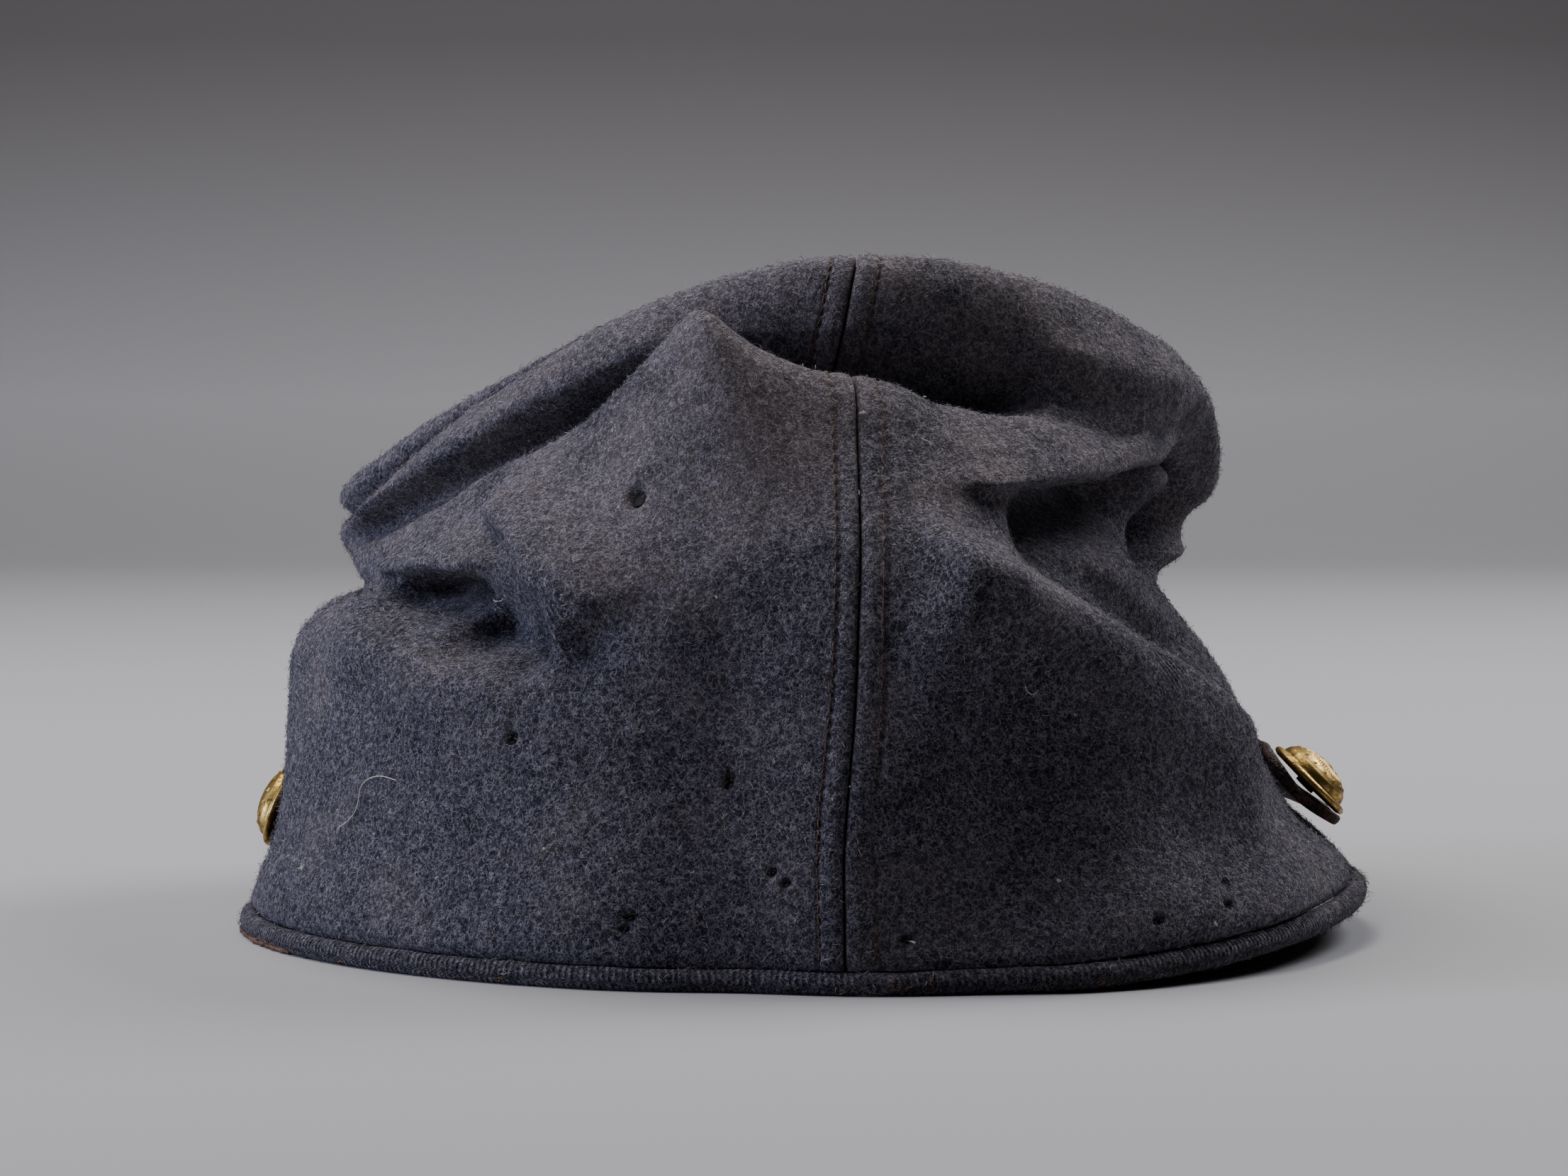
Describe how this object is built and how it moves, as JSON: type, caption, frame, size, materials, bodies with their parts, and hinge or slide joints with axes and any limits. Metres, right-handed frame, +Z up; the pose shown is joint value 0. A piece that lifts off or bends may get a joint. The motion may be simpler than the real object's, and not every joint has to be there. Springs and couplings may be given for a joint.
{
  "type": "kepi cap",
  "caption": "Soft wool kepi resting on its hem and peak: slumped crown, seamed halves, corded hem, leather peak, chin strap with slide, side buttons.",
  "frame": {"origin": "middle of the overall box on the ground the cap rests on", "axes": "+Y to the back of the cap, -Y out of the peak, +X to the wearer's left, +Z up"},
  "size_m": [0.1888, 0.2192, 0.1116],
  "materials": {
    "wool_body": "fulled indigo wool, napped, faded and dusty",
    "wool_crown": "fulled indigo wool, napped",
    "wool_welt": "wool twill over a cord",
    "peak_leather": "black leather, dull with age",
    "strap_leather": "dark leather with red-brown fibrous edges",
    "slide_brass": "worn stamped brass",
    "button_brass": "gilt brass, stamped and tarnished in the hollows",
    "band_leather": "thin brown leather, dry and cracked"
  },
  "bodies": {
    "root": {"body_left": "wool_body", "body_right": "wool_body", "crown_top": "wool_crown", "hem_welt": "wool_welt", "peak": "peak_leather", "chin_strap": "strap_leather", "strap_slide": "slide_brass", "button_left": "button_brass", "button_right": "button_brass", "sweatband": "band_leather"}
  },
  "joints": []
}
